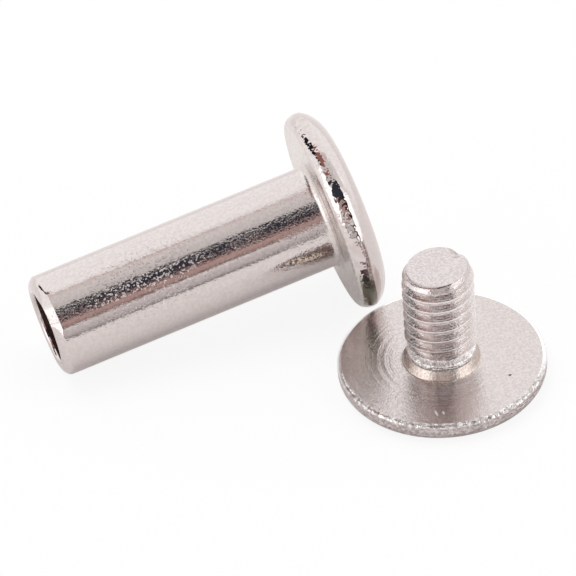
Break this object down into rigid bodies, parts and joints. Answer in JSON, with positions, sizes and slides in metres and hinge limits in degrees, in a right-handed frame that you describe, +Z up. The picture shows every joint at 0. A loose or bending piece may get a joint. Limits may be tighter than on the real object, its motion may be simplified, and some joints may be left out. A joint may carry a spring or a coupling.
{
  "type": "screw rivet",
  "caption": "Two-piece screw rivet for leather, unscrewed: a hollow tapped post with a domed head lies on its side, and a short screw stands on its flat slotted head.",
  "frame": {"origin": "middle of the outer face of the screw's head, on the surface that both pieces lie on", "axes": "+Z up along the screw's shank, +X along the post as seen from above, from its open end to its head, +Y from the screw towards the post"},
  "size_m": [0.0224, 0.0177, 0.0098],
  "materials": {
    "bright_nickel": "bright nickel plating, slightly pebbled",
    "satin_nickel": "satin nickel plating over turning marks"
  },
  "bodies": {
    "root": {"post": "bright_nickel", "screw": "satin_nickel"}
  },
  "joints": []
}
